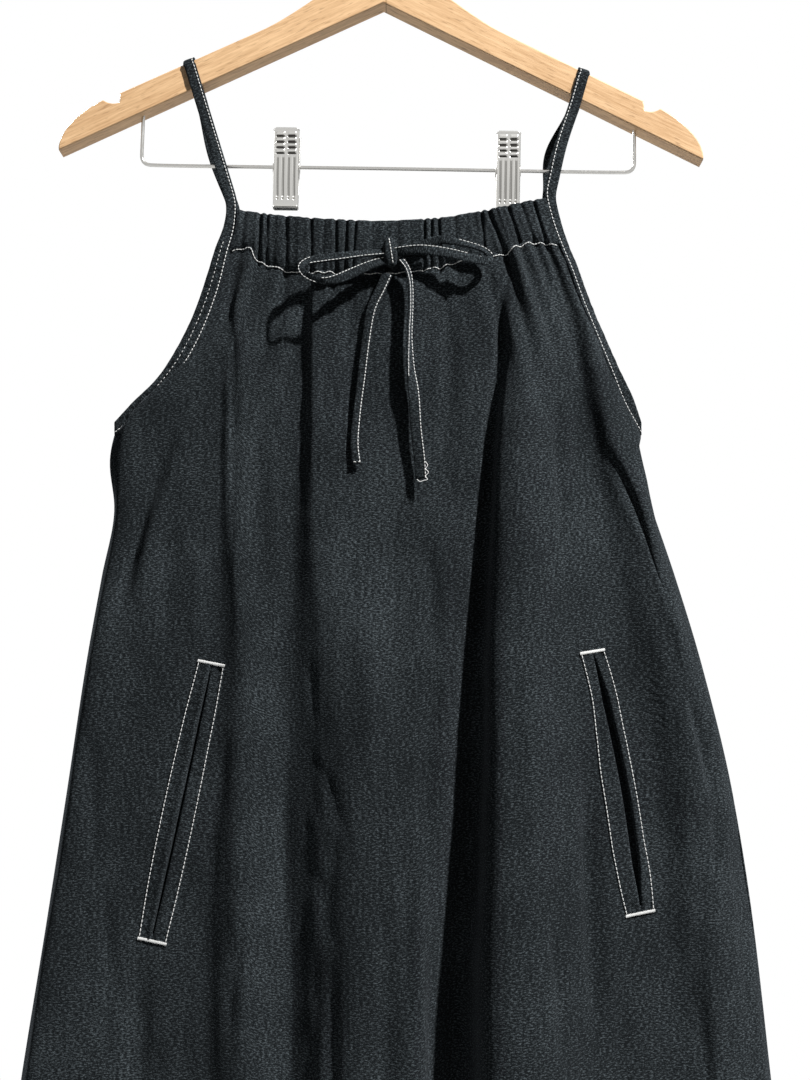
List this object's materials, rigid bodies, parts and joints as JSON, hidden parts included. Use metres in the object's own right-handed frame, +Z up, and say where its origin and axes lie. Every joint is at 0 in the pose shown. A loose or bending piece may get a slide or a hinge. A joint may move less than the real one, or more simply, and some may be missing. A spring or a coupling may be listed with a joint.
{
  "type": "denim dress on hanger",
  "caption": "Black washed denim trapeze dress with a gathered tie neck, thin straps and slanted welt pockets, hung on a wooden clip hanger.",
  "frame": {"origin": "The point inside the top of the hanger's hook that rests on a rail.", "axes": "+Z is up along the length of the dress, the front of the dress faces -Y, and X runs across it."},
  "size_m": [0.535, 0.1266, 1.1639],
  "materials": {
    "denim": "matte washed black twill with pale topstitching",
    "wood": "clear satin varnish",
    "steel": "bright nickel plate"
  },
  "bodies": {
    "root": {"front_panel": "denim", "back_panel": "denim", "front_casing": "denim", "back_casing": "denim", "armhole_band_front_left": "denim", "armhole_band_back_left": "denim", "armhole_band_front_right": "denim", "armhole_band_back_right": "denim", "strap_left": "denim", "strap_right": "denim", "pocket_left_welt_outer": "denim", "pocket_left_welt_inner": "denim", "pocket_left_bag": "denim", "pocket_right_welt_outer": "denim", "pocket_right_welt_inner": "denim", "pocket_right_bag": "denim", "bow_knot": "denim", "bow_loop_left": "denim", "bow_loop_right": "denim", "tie_tail_left": "denim", "tie_tail_right": "denim", "hanger_wood": "wood", "hanger_hook": "steel", "hanger_bar": "steel", "clip_left_front_jaw": "steel", "clip_left_back_jaw": "steel", "clip_left_spring": "steel", "clip_right_front_jaw": "steel", "clip_right_back_jaw": "steel", "clip_right_spring": "steel"}
  },
  "joints": []
}
